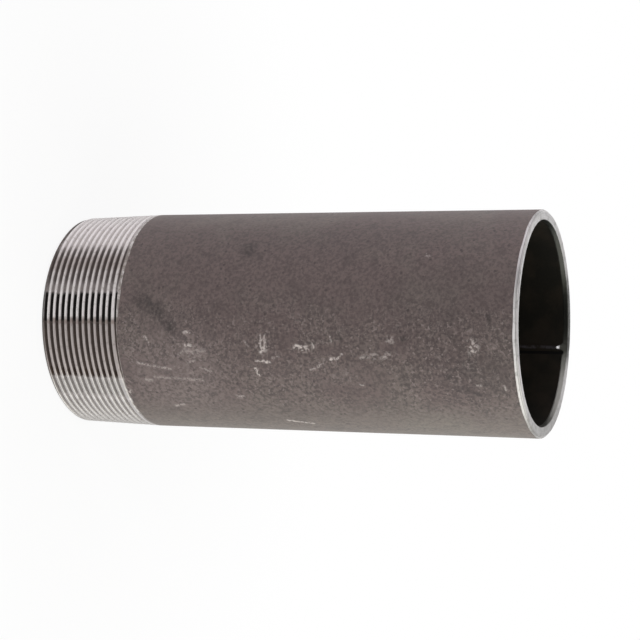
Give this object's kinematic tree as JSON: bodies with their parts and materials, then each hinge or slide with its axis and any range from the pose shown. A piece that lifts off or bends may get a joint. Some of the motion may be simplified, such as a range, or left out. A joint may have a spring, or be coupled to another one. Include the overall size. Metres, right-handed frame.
{
  "type": "weld nipple",
  "caption": "Steel pipe nipple with a male taper pipe thread on one end and a plain, lightly bevelled end for welding on the other; joins threaded pipework to a welded tank or pipe.",
  "frame": {"origin": "centre of the threaded end face, on the pipe's axis", "axes": "+Z along the pipe's axis, from the threaded end to the weld end; +X and +Y square to it, with the pipe's own seam 74.5 degrees from +X towards +Y"},
  "size_m": [0.076, 0.076, 0.17],
  "materials": {
    "black_steel": "dark mill scale outside and in the bore, bright machined thread and end faces"
  },
  "bodies": {
    "root": {"weld_nipple": "black_steel"}
  },
  "joints": []
}
